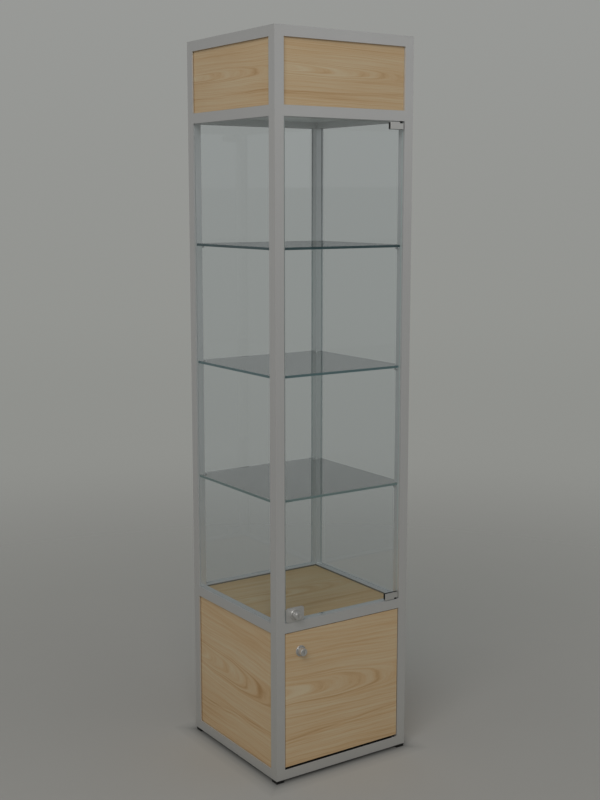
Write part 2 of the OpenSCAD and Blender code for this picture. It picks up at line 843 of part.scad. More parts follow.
module at_glass_lock() { translate([glass_lock_x, front, glass_lock_z]) children(); }
module at_wood_lock() { translate([wood_lock_x, front, wood_lock_z]) children(); }

module glass_lock_plate() {
    color(bright) at_glass_lock() difference() {
        translate([0, door_glass_face, 0]) rotate([90, 0, 0]) linear_extrude(plate_t)
            rounded_outline([-plate_w / 2, -plate_h / 2], [plate_w / 2, plate_h / 2], plate_r);
        bar_y(barrel_d + 2 * shaft_fit, plate_face - over, door_glass_face + over);
    }
}

module glass_lock_barrel() { color(bright) at_glass_lock() lock_barrel(plate_face, glass_barrel_end); }
module glass_lock_nut() { color(bright) at_glass_lock() lock_nut(door_glass_back); }
module glass_lock_plug() { color(metal) at_glass_lock() lock_plug(plate_face, glass_cam_y); }
module glass_lock_cam() {
    color(bright) at_glass_lock() rotate([0, -90, 0]) lock_cam(glass_cam_y, glass_cam_l);
}

module wood_lock_barrel() { color(bright) at_wood_lock() lock_barrel(wood_door_face, wood_barrel_end); }
module wood_lock_nut() { color(bright) at_wood_lock() lock_nut(wood_door_back); }
module wood_lock_plug() { color(metal) at_wood_lock() lock_plug(wood_door_face, wood_cam_y); }
module wood_lock_cam() { color(bright) at_wood_lock() rotate([0, 90, 0]) lock_cam(wood_cam_y, wood_cam_l); }

// ---- wooden door ----

module wood_pin(z0, z1, d) {
    translate([hinge_x, front + wood_axis_y, z0]) cylinder(h = z1 - z0, d = d);
}

module wood_door() {
    hole_d = wood_pin_d + 2 * shaft_fit;
    color(timber) difference() {
        box([wood_door_x0, front + wood_door_face, wood_door_z0],
            [wood_door_x1, front + wood_door_back, wood_door_z1]);
        wood_pin(wood_door_z0 - over, wood_door_z0 + wood_pin_l, hole_d);
        wood_pin(wood_door_z1 - wood_pin_l, wood_door_z1 + over, hole_d);
        at_wood_lock() bar_y(barrel_d + 2 * shaft_fit, 0, profile);
    }
}

module wood_door_pins() {
    color(bright) {
        wood_pin(base_top - wood_bush_l, wood_door_z0 + wood_pin_l, wood_pin_d);
        wood_pin(wood_door_z1 - wood_pin_l, deck_z + wood_bush_l, wood_pin_d);
    }
}

post_front_left();
post_front_right();
post_back_left();
post_back_right();
base_rail_front();
base_rail_back();
base_rail_left();
base_rail_right();
deck_rail_front();
deck_rail_back();
deck_rail_left();
deck_rail_right();
header_rail_front();
header_rail_back();
header_rail_left();
header_rail_right();
top_rail_front();
top_rail_back();
top_rail_left();
top_rail_right();
post_caps();
feet();
corner_connectors();
lower_panel_left();
lower_panel_right();
lower_panel_back();
floor_board();
deck_panel();
header_panel_front();
header_panel_back();
header_panel_left();
header_panel_right();
ceiling_panel();
top_panel();
board_brackets();
pane_left();
pane_right();
pane_back();
glazing_gaskets();
shelf_lower();
shelf_middle();
shelf_upper();
shelf_supports();
pivot_bushes();
door_stops();
glass_door();
hinge_clamps();
clamp_liners();
glass_door_pins();
glass_lock_plate();
glass_lock_barrel();
glass_lock_nut();
glass_lock_plug();
glass_lock_cam();
wood_door();
wood_door_pins();
wood_lock_barrel();
wood_lock_nut();
wood_lock_plug();
wood_lock_cam();
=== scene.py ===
"""Looks of the square display case: finishes, glass, seals, floor, light and camera."""

import math

import bmesh
import bpy
from mathutils import Matrix, Vector

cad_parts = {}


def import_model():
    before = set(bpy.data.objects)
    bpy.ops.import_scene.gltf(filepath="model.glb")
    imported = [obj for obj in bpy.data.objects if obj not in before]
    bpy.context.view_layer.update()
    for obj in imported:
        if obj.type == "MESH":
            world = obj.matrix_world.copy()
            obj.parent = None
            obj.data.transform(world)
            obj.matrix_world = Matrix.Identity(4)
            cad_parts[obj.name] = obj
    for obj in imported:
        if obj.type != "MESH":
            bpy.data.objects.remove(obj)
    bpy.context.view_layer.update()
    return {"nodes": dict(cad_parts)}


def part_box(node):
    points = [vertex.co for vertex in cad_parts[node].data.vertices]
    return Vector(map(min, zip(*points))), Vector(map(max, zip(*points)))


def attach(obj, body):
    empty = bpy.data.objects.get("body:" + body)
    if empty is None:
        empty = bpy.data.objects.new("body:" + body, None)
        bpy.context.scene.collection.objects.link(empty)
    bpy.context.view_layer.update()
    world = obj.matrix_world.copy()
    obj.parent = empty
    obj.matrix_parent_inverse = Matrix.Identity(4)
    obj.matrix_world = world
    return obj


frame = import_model()
nodes = frame["nodes"]

MM = 0.001

# ---------------------------------------------------------------- node helpers


def new_tree(name):
    """A new material and its empty node tree."""
    material = bpy.data.materials.new(name)
    material.use_nodes = True
    material.node_tree.nodes.clear()
    return material, material.node_tree


def add(tree, kind, links=None, **settings):
    """A node of that kind. links maps its input names to sockets or plain values."""
    node = tree.nodes.new(kind)
    for key, value in settings.items():
        setattr(node, key, value)
    for key, value in (links or {}).items():
        if isinstance(value, bpy.types.NodeSocket):
            tree.links.new(value, node.inputs[key])
        else:
            node.inputs[key].default_value = value
    return node


def calc(tree, operation, *values, clamp=False):
    """A Math node's result. MULTIPLY_ADD gives the first value times the second plus the third."""
    links = dict(enumerate(values))
    return add(tree, "ShaderNodeMath", links, operation=operation, use_clamp=clamp).outputs[0]


def vector_calc(tree, operation, a, b, output="Vector"):
    """A Vector Math node's result."""
    return add(tree, "ShaderNodeVectorMath", {0: a, 1: b}, operation=operation).outputs[output]


def ramp(tree, value, stops):
    """A colour ramp's colour. stops are (place, (r, g, b))."""
    node = add(tree, "ShaderNodeValToRGB", {"Fac": value})
    band = node.color_ramp
    while len(band.elements) < len(stops):
        band.elements.new(0.5)
    for element, (place, colour) in zip(band.elements, stops):
        element.position = place
        element.color = (*colour, 1)
    return node.outputs["Color"]


def grey_ramp(tree, value, stops):
    """The same for plain levels. stops are (place, level)."""
    return ramp(tree, value, [(place, (level,) * 3) for place, level in stops])


def mix_colour(tree, factor, a, b, blend="MIX"):
    """Two colours mixed."""
    links = {"Factor": factor, "A": a, "B": b}
    node = add(tree, "ShaderNodeMix", data_type="RGBA", blend_type=blend)
    for key, value in links.items():
        sockets = [s for s in node.inputs if s.name == key and s.enabled]
        if isinstance(value, bpy.types.NodeSocket):
            tree.links.new(value, sockets[0])
        else:
            sockets[0].default_value = value if key == "Factor" else (*value, 1)
    return [s for s in node.outputs if s.enabled][0]


def noise(tree, vector, scale, detail=3, roughness=0.5):
    """A noise texture's value."""
    links = {"Vector": vector, "Scale": scale, "Detail": detail, "Roughness": roughness}
    return add(tree, "ShaderNodeTexNoise", links).outputs["Fac"]


def stretched(tree, vector, scale):
    """Coordinates stretched by a scale along each axis."""
    return vector_calc(tree, "MULTIPLY", vector, scale)


def object_coords(tree):
    """A point's place in its object. The CAD's objects all share the case's own frame."""
    return add(tree, "ShaderNodeTexCoord").outputs["Object"]


def soft_normal(tree, height, distance, strength, edge):
    """A normal with rounded edges and a bump."""
    rounded = add(tree, "ShaderNodeBevel", {"Radius": edge}, samples=4).outputs["Normal"]
    links = {"Height": height, "Distance": distance, "Strength": strength, "Normal": rounded}
    return add(tree, "ShaderNodeBump", links).outputs["Normal"]


def output(tree, shader):
    """Makes a shader the material's surface."""
    add(tree, "ShaderNodeOutputMaterial", {"Surface": shader})


def mix_shader(tree, share, a, b):
    """Two shaders mixed. A share of 1 gives the second one."""
    return add(tree, "ShaderNodeMixShader", {0: share, 1: a, 2: b}).outputs[0]


def principled(tree, **inputs):
    """A Principled BSDF. The inputs' names are written with underscores for spaces."""
    links = {key.replace("_", " "): value for key, value in inputs.items()}
    return add(tree, "ShaderNodeBsdfPrincipled", links).outputs[0]


def finish_node(name, material):
    """Gives a CAD node its material."""
    slots = nodes[name].data.materials
    slots.clear()
    slots.append(material)


# ---------------------------------------------------------------- wood

# Ring levels, 0 pale and 1 a dark line, against RING_ZOOM times the distance from the board's
# heart. Distances across the grain are shares of the board's height
RINGS = [
    (0.00, 0.05),
    (0.125, 0.10),
    (0.160, 0.70),
    (0.176, 0.16),
    (0.204, 0.24),
    (0.218, 0.74),
    (0.230, 0.24),
    (0.243, 0.34),
    (0.252, 0.92),
    (0.264, 0.34),
    (0.40, 0.30),
    (1.00, 0.42),
]
RING_ZOOM = 2.0
# The heart starts at the share HEART_V of the board's height from its top and sinks by
# HEART_SLOPE over its length. Its depth below the face starts at HEART_START and grows by
# HEART_U, which closes the arches one after the other. HEART_NARROW divides their width
HEART_U = 0.101
HEART_START = 0.043
HEART_V = 0.44
HEART_SLOPE = 0.045
HEART_NARROW = 1.35
# Two dark lines low on the board. Place 0.5 of LINE_BANDS is at the share LINE_V of its height
# from its top and moves by LINE_SLOPE over its length. All the places together span
# 1 / LINE_ZOOM of that height
LINE_V = 0.795
LINE_SLOPE = -0.04
LINE_ZOOM = 4.0
LINE_BANDS = [
    (0.40, 0),
    (0.47, 0.30),
    (0.50, 0.62),
    (0.535, 0.12),
    (0.56, 0.08),
    (0.59, 0.42),
    (0.63, 0),
]

# Scale along the grain, across it and between boards. The streaks' second scale is across the
# rings, and their third also acts across the grain
DRIFT_SCALE = (1.6, 3.0, 1)
STREAK_SCALE = (1.0, 52, 3)
FIBRE_SCALE = (5, 260, 1)
PATCH_SCALE = (1.3, 4.5, 1)
DRIFT = 0.07
# How much each layer darkens the wood
STREAK_SHARE = 1.7
RING_SHARE = 0.62
LINE_SHARE = 0.55
PATCH_SHARE = 0.45
FIBRE_SHARE = 0.22
PALE_SHIFT = -0.74

PALE = (0.84, 0.685, 0.455)
TAN = (0.775, 0.545, 0.305)
LINE = (0.56, 0.315, 0.125)
TAN_LEVEL = 0.45
# Painted shade: the level boards' colour is multiplied by this, so they are darker than the upright
# panels, for the weaker light that falls on level faces inside the case
LEVEL_PAINTED_SHADE = (0.88, 0.86, 0.80)
LEVEL_SHINE = 0.15
UPRIGHT_SHINE = 0.4
WOOD_ROUGH = 0.36
WOOD_ROUGH_SPREAD = 0.12
WOOD_GRAIN_DEPTH = 0.05 * MM
WOOD_BUMP = 0.25
WOOD_ROUNDING = 0.7 * MM


def wood(name, origin, u_edge, v_edge, seed, tone=(1, 1, 1), shine=UPRIGHT_SHINE):
    """Flat-sawn laminate. origin is the panel's top left corner seen from outside, and u_edge
    and v_edge run along its grain and across it to the far corners."""
    material, tree = new_tree(name)
    place = object_coords(tree)
    local = vector_calc(tree, "SUBTRACT", place, origin)
    u_dir = Vector(u_edge) / Vector(u_edge).length_squared
    v_dir = Vector(v_edge) / Vector(v_edge).length_squared
    u = vector_calc(tree, "DOT_PRODUCT", local, u_dir, "Value")
    v = vector_calc(tree, "DOT_PRODUCT", local, v_dir, "Value")

    flat = add(tree, "ShaderNodeCombineXYZ", {"X": u, "Y": v, "Z": seed}).outputs[0]
    drift = calc(tree, "SUBTRACT", noise(tree, stretched(tree, flat, DRIFT_SCALE), 1.0, 2), 0.5)
    v_bent = calc(tree, "MULTIPLY_ADD", drift, DRIFT, v)
    middle = calc(tree, "MULTIPLY_ADD", u, HEART_SLOPE, HEART_V)
    from_middle = calc(tree, "SUBTRACT", v_bent, middle)
    across = calc(tree, "ABSOLUTE", calc(tree, "MULTIPLY", from_middle, HEART_NARROW))
    depth = calc(tree, "MAXIMUM", calc(tree, "MULTIPLY_ADD", u, HEART_U, HEART_START), 0.001)
    fourth = calc(tree, "ADD", calc(tree, "POWER", across, 4), calc(tree, "POWER", depth, 4))
    ring = calc(tree, "POWER", fourth, 0.25)

    rings = grey_ramp(tree, calc(tree, "MULTIPLY", ring, RING_ZOOM), RINGS)
    v_seeded = calc(tree, "ADD", v, seed)
    along = add(tree, "ShaderNodeCombineXYZ", {"X": u, "Y": ring, "Z": v_seeded}).outputs[0]
    streaks = noise(tree, stretched(tree, along, STREAK_SCALE), 1.0, 6, 0.70)
    fibres = noise(tree, stretched(tree, flat, FIBRE_SCALE), 1.0, 3, 0.6)
    patches = noise(tree, stretched(tree, flat, PATCH_SCALE), 1.0, 2)

    line_at = calc(tree, "MULTIPLY_ADD", u, LINE_SLOPE, LINE_V)
    line_gap = calc(tree, "SUBTRACT", v_bent, line_at)
    line = grey_ramp(tree, calc(tree, "MULTIPLY_ADD", line_gap, LINE_ZOOM, 0.5), LINE_BANDS)

    level = calc(tree, "MULTIPLY_ADD", rings, RING_SHARE, PALE_SHIFT)
    level = calc(tree, "MULTIPLY_ADD", streaks, STREAK_SHARE, level)
    level = calc(tree, "MULTIPLY_ADD", line, LINE_SHARE, level)
    patch_level = calc(tree, "SUBTRACT", patches, 0.5)
    level = calc(tree, "MULTIPLY_ADD", patch_level, PATCH_SHARE, level)
    fibre_level = calc(tree, "SUBTRACT", fibres, 0.5)
    level = calc(tree, "MULTIPLY_ADD", fibre_level, FIBRE_SHARE, level, clamp=True)
    colour = ramp(tree, level, [(0.0, PALE), (TAN_LEVEL, TAN), (1.0, LINE)])
    # Painted shade on the level boards: the grain's colour times the tint passed in
    colour = mix_colour(tree, 1.0, colour, tone, "MULTIPLY")

    rough = calc(tree, "MULTIPLY_ADD", fibres, WOOD_ROUGH_SPREAD, WOOD_ROUGH)
    normal = soft_normal(tree, fibres, WOOD_GRAIN_DEPTH, WOOD_BUMP, WOOD_ROUNDING)
    surface = principled(
        tree, Base_Color=colour, Roughness=rough, Normal=normal, Specular_IOR_Level=shine
    )
    output(tree, surface)
    return material


def upright_wood(node, side, visible, seed):
    """Wood for a panel in one of the case's sides. visible is (left, right, bottom, top) of
    its face, seen from outside, in the case's own frame."""
    left, right, bottom, top = visible
    along_x = side in ("front", "back")
    u_edge = (right - left, 0, 0) if along_x else (0, right - left, 0)
    origin = (left, 0, top) if along_x else (0, left, top)
    finish_node(node, wood("wood_" + node, origin, u_edge, (0, 0, bottom - top), seed))


def inner_faces(low_rail, high_rail):
    """Height of the upper face of one rail and the lower face of another."""
    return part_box(low_rail)[1].z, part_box(high_rail)[0].z


case_low, post_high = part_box("post_front_left")
case_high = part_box("post_back_right")[1]
profile = post_high.x - case_low.x
half = case_high.x - profile

SIDE_SPAN = {
    "front": (-half, half),
    "back": (half, -half),
    "left": (half, -half),
    "right": (-half, half),
}
base_top, deck_bottom = inner_faces("base_rail_left", "deck_rail_left")
header_top, cap_bottom = inner_faces("header_rail_left", "top_rail_left")

# Each board has a seed of its own, so no two show the same figure
for seed, side in enumerate(("left", "right", "back"), start=3):
    upright_wood("lower_panel_" + side, side, (*SIDE_SPAN[side], base_top, deck_bottom), seed)
for seed, side in enumerate(("front", "left", "right", "back"), start=11):
    upright_wood("header_panel_" + side, side, (*SIDE_SPAN[side], header_top, cap_bottom), seed)

DOOR_SEED = 3.4
door_low, door_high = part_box("wood_door")
upright_wood("wood_door", "front", (door_low.x, door_high.x, door_low.z, door_high.z), DOOR_SEED)

# Level boards, with painted shade that makes them darker than the upright panels
for seed, board in enumerate(("floor_board", "deck_panel", "top_panel"), start=21):
    low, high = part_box(board)
    corner, u_edge, v_edge = (low.x, high.y, 0), (high.x - low.x, 0, 0), (0, low.y - high.y, 0)
    finish_node(board, wood("wood_" + board, corner, u_edge, v_edge, seed, LEVEL_PAINTED_SHADE, LEVEL_SHINE))

# ---------------------------------------------------------------- metal


# Scale of the brush marks for each direction of brushing
BRUSHING = {
    "x": (6, 1500, 1500),
    "y": (1500, 6, 1500),
    "z": (1500, 1500, 6),
    "none": (700, 700, 700),
}
METAL_CLOUD_SCALE = 9.0
BRUSH_DEPTH = 0.01 * MM
BRUSH_BUMP = 0.18
METAL_ROUNDING = 0.35 * MM
DARKER = 0.8


def metal(name, colour, roughness, grain_axis, grain=0.06, wear=0.05, metallic=1.0):
    """Satin metal brushed along an axis, with a faint change of shine over its length. A lower
    metallic share gives the duller white of an anodised skin."""
    material, tree = new_tree(name)
    place = object_coords(tree)
    lines = noise(tree, stretched(tree, place, BRUSHING[grain_axis]), 1.0, 2, 0.6)
    clouds = noise(tree, place, METAL_CLOUD_SCALE, 3, 0.55)
    rough = calc(tree, "MULTIPLY_ADD", lines, grain, roughness - grain / 2)
    rough = calc(tree, "MULTIPLY_ADD", calc(tree, "SUBTRACT", clouds, 0.5), wear * 2, rough)
    worn = calc(tree, "MULTIPLY", clouds, wear * 2)
    shade = mix_colour(tree, worn, colour, [c * DARKER for c in colour])
    normal = soft_normal(tree, lines, BRUSH_DEPTH, BRUSH_BUMP, METAL_ROUNDING)
    surface = principled(
        tree, Base_Color=shade, Metallic=metallic, Roughness=rough, Normal=normal
    )
    output(tree, surface)
    return material


ALUMINIUM = (0.74, 0.74, 0.735)
NICKEL = (0.70, 0.695, 0.68)
ZINC = (0.66, 0.67, 0.68)

ANODISED = 0.45
PLATED = 0.55
aluminium = {
    axis: metal("aluminium_along_" + axis, ALUMINIUM, 0.42, axis, metallic=ANODISED)
    for axis in "xyz"
}
aluminium_cut = metal("aluminium_cut", ALUMINIUM, 0.46, "none", metallic=ANODISED)
nickel = metal("satin_nickel", NICKEL, 0.36, "none", grain=0.04, metallic=PLATED)
nickel_plate = metal("satin_nickel_brushed", NICKEL, 0.40, "x", grain=0.08, metallic=PLATED)
zinc = metal("zinc_plate", ZINC, 0.34, "none", wear=0.12)

for name in nodes:
    if name.startswith("post_") and name != "post_caps":
        finish_node(name, aluminium["z"])
    elif "_rail_" in name:
        finish_node(name, aluminium["x" if name.endswith(("front", "back")) else "y"])
finish_node("post_caps", aluminium_cut)
for name in (
    "hinge_clamps",
    "glass_lock_barrel",
    "wood_lock_barrel",
    "glass_lock_plug",
    "wood_lock_plug",
):
    finish_node(name, nickel)
finish_node("glass_lock_plate", nickel_plate)
for name in (
    "corner_connectors",
    "board_brackets",
    "shelf_supports",
    "glass_door_pins",
    "wood_door_pins",
    "glass_lock_nut",
    "wood_lock_nut",
    "glass_lock_cam",
    "wood_lock_cam",
):
    finish_node(name, zinc)

# ---------------------------------------------------------------- rubber, plastic and board


ROUGH_SPREAD = 0.12
CLOUD_SHADE = 0.7
CLOUD_SCALE = 14.0
TEXTURE_DEPTH = 0.04 * MM
DULL_ROUNDING = 0.3 * MM


def dull(name, colour, roughness, bump_scale, bump, spread=0.25):
    """A moulded or painted surface with a fine texture and a little change of tone."""
    material, tree = new_tree(name)
    place = object_coords(tree)
    fine = noise(tree, place, bump_scale, 4, 0.6)
    clouds = noise(tree, place, CLOUD_SCALE, 3, 0.5)
    clouded = calc(tree, "MULTIPLY", clouds, spread)
    shade = mix_colour(tree, clouded, colour, [c * CLOUD_SHADE for c in colour])
    rough = calc(tree, "MULTIPLY_ADD", fine, ROUGH_SPREAD, roughness - ROUGH_SPREAD / 2)
    normal = soft_normal(tree, fine, TEXTURE_DEPTH, bump, DULL_ROUNDING)
    output(tree, principled(tree, Base_Color=shade, Roughness=rough, Normal=normal))
    return material


rubber = dull("black_rubber", (0.012, 0.012, 0.013), 0.62, 900, 0.3)
bush_plastic = dull("black_plastic", (0.015, 0.015, 0.016), 0.42, 700, 0.15)
grey_rubber = dull("grey_rubber", (0.70, 0.71, 0.705), 0.45, 900, 0.2)
ceiling_board = dull("ceiling_board", (0.96, 0.975, 0.965), 0.22, 420, 0.10, spread=0.1)

finish_node("clamp_liners", rubber)
finish_node("glazing_gaskets", grey_rubber)
finish_node("pivot_bushes", bush_plastic)
finish_node("feet", bush_plastic)
finish_node("ceiling_panel", ceiling_board)

# ---------------------------------------------------------------- dark strips that paint shade


def strips(name, boxes, material):
    """Thin strips as one piece on the frame. boxes are pairs of corners."""
    shape = bmesh.new()
    for low, high in boxes:
        size, middle = Vector(high) - Vector(low), (Vector(high) + Vector(low)) / 2
        matrix = Matrix.Translation(middle) @ Matrix.Diagonal((*size, 1))
        bmesh.ops.create_cube(shape, size=1, matrix=matrix)
    mesh = bpy.data.meshes.new(name)
    shape.to_mesh(mesh)
    shape.free()
    mesh.materials.append(material)
    thing = bpy.data.objects.new(name, mesh)
    bpy.context.scene.collection.objects.link(thing)
    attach(thing, "frame")


# The strips' thickness, and how far they stay back from an outer edge
SEAL = 1.0 * MM
SEAL_EDGE = 0.5 * MM
# Room that the door gap's shade strip leaves for the wooden door's bush
BUSH_ROOM = 15 * MM
rail_front, rail_back = case_low.y, case_low.y + profile
# Painted shade: a black strip on the base rail's top makes the gap under the wooden door dark,
# where there is only shade
shade_strip_low = (-half + SEAL, rail_front + SEAL_EDGE, base_top)
shade_strip_high = (half - BUSH_ROOM, rail_back - SEAL, base_top + SEAL)
strips("door_gap_shade_strip", [(shade_strip_low, shade_strip_high)], rubber)

# Painted shade: dark strips against the deck rails' inner faces, above the deck board, draw the
# dark line of shade where the board meets the rails
painted_shade_strip = dull("painted_shade_strip", (0.20, 0.19, 0.17), 0.6, 900, 0.2)
board_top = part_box("deck_panel")[1].z
rail_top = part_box("deck_rail_left")[1].z - SEAL_EDGE
strips(
    "deck_edge_strips",
    [
        ((-half, -half, board_top), (-half + SEAL, half, rail_top)),
        ((half - SEAL, -half, board_top), (half, half, rail_top)),
        ((-half + SEAL, half - SEAL, board_top), (half - SEAL, half, rail_top)),
    ],
    painted_shade_strip,
)

# ---------------------------------------------------------------- glass

GLASS_IOR = 1.5
PANE_TINT = (0.975, 0.987, 0.992)
PANE_EDGE = (0.62, 0.70, 0.69)
SHELF_TINT = (0.65, 0.655, 0.655)
SHELF_STRAIGHT = (0.86, 0.92, 0.90)
# Painted light: each shelf's edge gets its own opaque colour, lighter the lower the shelf, for the
# light from the floor that its edge gives back
SHELF_EDGE_PAINTED_LIGHT = {
    "shelf_lower": (0.240, 0.325, 0.310),
    "shelf_middle": (0.125, 0.215, 0.225),
    "shelf_upper": (0.028, 0.078, 0.088),
}
# How strongly each glass mirrors, as a share of what clean glass does
PANE_MIRROR = 1.1
SHELF_MIRROR = 0.55
STOP_MIRROR = 1.0
FACE_LIMIT = 0.7
# Smears are where a noise of that scale is above SMEAR_FROM
SMEAR_SCALE = (9, 9, 5)
SMEAR_FROM = 0.62
SMEAR_ROUGHNESS = 0.012
GROUND_ROUGHNESS = 0.3
POLISHED_ROUGHNESS = 0.15


def face_share(tree, axis):
    """1 on faces square to the axis and 0 on the others, from the object's own normal."""
    normal = add(tree, "ShaderNodeTexCoord").outputs["Normal"]
    along = vector_calc(tree, "DOT_PRODUCT", normal, axis, "Value")
    return calc(tree, "GREATER_THAN", calc(tree, "ABSOLUTE", along), FACE_LIMIT)


def faint_smears(tree):
    """Slightly uneven shine, as on glass that has been wiped."""
    smears = noise(tree, stretched(tree, object_coords(tree), SMEAR_SCALE), 1.0, 4, 0.6)
    return calc(tree, "MULTIPLY", calc(tree, "GREATER_THAN", smears, SMEAR_FROM), SMEAR_ROUGHNESS)


def outer_hit(tree):
    """1 where a ray meets the surface from outside."""
    return calc(tree, "SUBTRACT", 1.0, add(tree, "ShaderNodeNewGeometry").outputs["Backfacing"])


def mirror_share(tree, strength):
    """How much glass mirrors, more at a low angle."""
    fresnel = add(tree, "ShaderNodeFresnel", {"IOR": GLASS_IOR}).outputs[0]
    share = calc(tree, "MULTIPLY", fresnel, strength, clamp=True)
    return calc(tree, "MULTIPLY", share, outer_hit(tree))


def gloss_shader(tree, roughness):
    """The mirror image on a glossy surface."""
    links = {"Color": (1, 1, 1, 1), "Roughness": roughness}
    return add(tree, "ShaderNodeBsdfAnisotropic", links).outputs[0]


def let_straight(tree, glass, colour, kinds):
    """Glass for the rays that are looked along. Rays of the given kinds pass straight through,
    so that light reaches what stands behind it."""
    path = add(tree, "ShaderNodeLightPath")
    other = calc(tree, "MAXIMUM", *(path.outputs[kind] for kind in kinds))
    straight = add(tree, "ShaderNodeBsdfTransparent", {"Color": (*colour, 1)}).outputs[0]
    return mix_shader(tree, other, glass, straight)


def pane_glass(name, face_axis):
    """Clear glass that bends light. Its ground edges are pale green."""
    material, tree = new_tree(name)
    smears = faint_smears(tree)
    links = {"Color": (*PANE_TINT, 1), "Roughness": 0.0, "IOR": GLASS_IOR}
    clear = add(tree, "ShaderNodeBsdfRefraction", links).outputs[0]
    face = mix_shader(tree, mirror_share(tree, PANE_MIRROR), clear, gloss_shader(tree, smears))
    edge = principled(tree, Base_Color=(*PANE_EDGE, 1), Roughness=GROUND_ROUGHNESS)
    both = mix_shader(tree, face_share(tree, face_axis), edge, face)
    straight = [c * c for c in PANE_TINT]
    output(tree, let_straight(tree, both, straight, ("Is Shadow Ray", "Is Reflection Ray")))
    return material


def shelf_glass(name, painted_edge_light):
    """Thick glass that bends light. Its broad faces are a little grey. Seen from outside, its
    polished edges have a painted, opaque blue green that stands in for the light real glass carries
    inside."""
    material, tree = new_tree(name)
    smears = faint_smears(tree)
    links = {"Color": (*SHELF_TINT, 1), "Roughness": smears, "IOR": GLASS_IOR}
    entry = add(tree, "ShaderNodeBsdfRefraction", links).outputs[0]
    outside = mix_shader(tree, mirror_share(tree, SHELF_MIRROR), entry, gloss_shader(tree, smears))
    inside = add(tree, "ShaderNodeBsdfGlass", {"Roughness": smears, "IOR": GLASS_IOR}).outputs[0]
    broad = mix_shader(tree, outer_hit(tree), inside, outside)
    # Painted light: an opaque colour on the edges for the light that glass carries inside
    painted_rim = principled(tree, Base_Color=(*painted_edge_light, 1), Roughness=POLISHED_ROUGHNESS)
    edge = mix_shader(tree, outer_hit(tree), inside, painted_rim)
    glass = mix_shader(tree, face_share(tree, (0, 0, 1)), edge, broad)
    output(tree, let_straight(tree, glass, SHELF_STRAIGHT, ("Is Shadow Ray", "Is Diffuse Ray")))
    return material


side_glass = pane_glass("glass_side_panes", (1, 0, 0))
finish_node("pane_left", side_glass)
finish_node("pane_right", side_glass)
finish_node("pane_back", pane_glass("glass_back_pane", (0, 1, 0)))
finish_node("glass_door", pane_glass("glass_door_leaf", (0, 1, 0)))
for name, painted_edge_light in SHELF_EDGE_PAINTED_LIGHT.items():
    finish_node(name, shelf_glass("glass_" + name, painted_edge_light))

STOP_CLEAR = (0.975, 0.98, 0.98)
STOP_DARK = (0.05, 0.05, 0.05)
STOP_ROUGHNESS = 0.15
SCREW_ROUGHNESS = 0.4
# The stop's screw: its distance from the case's front, and its radius
SCREW_INSET = 14 * MM
SCREW_RADIUS = 1.9 * MM


def clear_plastic():
    """The clear stop behind the glass door, with its dark screw in the same node. The part of
    the node below the deck rail is the wooden door's stop, all dark."""
    material, tree = new_tree("clear_plastic_and_screw")
    low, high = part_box("door_stops")
    place = add(tree, "ShaderNodeSeparateXYZ", {"Vector": object_coords(tree)})
    through = add(tree, "ShaderNodeBsdfTransparent", {"Color": (*STOP_CLEAR, 1)}).outputs[0]
    gloss = add(tree, "ShaderNodeBsdfAnisotropic", {"Roughness": STOP_ROUGHNESS}).outputs[0]
    clear = mix_shader(tree, mirror_share(tree, STOP_MIRROR), through, gloss)
    dark = principled(tree, Base_Color=(*STOP_DARK, 1), Roughness=SCREW_ROUGHNESS)
    dx = calc(tree, "SUBTRACT", place.outputs["X"], (low.x + high.x) / 2)
    dy = calc(tree, "SUBTRACT", place.outputs["Y"], case_low.y + SCREW_INSET)
    squares = [calc(tree, "MULTIPLY", side, side) for side in (dx, dy)]
    away = calc(tree, "SQRT", calc(tree, "ADD", *squares))
    is_screw = calc(tree, "LESS_THAN", away, SCREW_RADIUS)
    is_bumper = calc(tree, "LESS_THAN", place.outputs["Z"], deck_bottom + MM)
    output(tree, mix_shader(tree, calc(tree, "MAXIMUM", is_screw, is_bumper), clear, dark))
    return material


finish_node("door_stops", clear_plastic())

# ---------------------------------------------------------------- stage

# Colours by a ray's height: 0 straight down, 0.5 level and 1 straight up. SKY lights the case
# and shows in reflections, and BACKDROP is what the camera sees, also through glass
SKY = [
    (0.00, (0.110, 0.110, 0.102)),
    (0.38, (0.180, 0.180, 0.172)),
    (0.45, (0.260, 0.263, 0.255)),
    (0.53, (0.275, 0.278, 0.272)),
    (0.62, (0.190, 0.190, 0.186)),
    (1.00, (0.125, 0.125, 0.125)),
]
BACKDROP = [
    (0.315, (0.262, 0.265, 0.248)),
    (0.408, (0.277, 0.281, 0.265)),
    (0.430, (0.281, 0.286, 0.270)),
    (0.455, (0.292, 0.297, 0.281)),
    (0.500, (0.299, 0.304, 0.290)),
    (0.575, (0.315, 0.320, 0.308)),
]
FLOOR_RADIUS = 6.0
FLOOR_PATCH_SCALE = 1.4
FLOOR_ROUGHNESS = 0.75
FLOOR_SHINE = 0.25
FADE_RADIUS = 3.4
FADE_SOFTNESS = 0.3
FLOOR_DARK = (0.60, 0.593, 0.565)
FLOOR_PALE = (0.66, 0.652, 0.622)
# Painted reflection: the floor's tone for glossy rays, darker and warmer than the floor itself, as
# metal mirrors it
FLOOR_PAINTED_REFLECTION = (0.56, 0.545, 0.44)
# A painted contact shadow: the floor's share of its tone from 50 mm inside the footprint to 50 mm
# outside it
CONTACT_SPAN = 100 * MM
PAINTED_CONTACT_SHADOW = [(0.0, 0.20), (0.40, 0.24), (0.50, 0.45), (0.60, 0.66), (0.75, 0.86), (1.0, 1.0)]


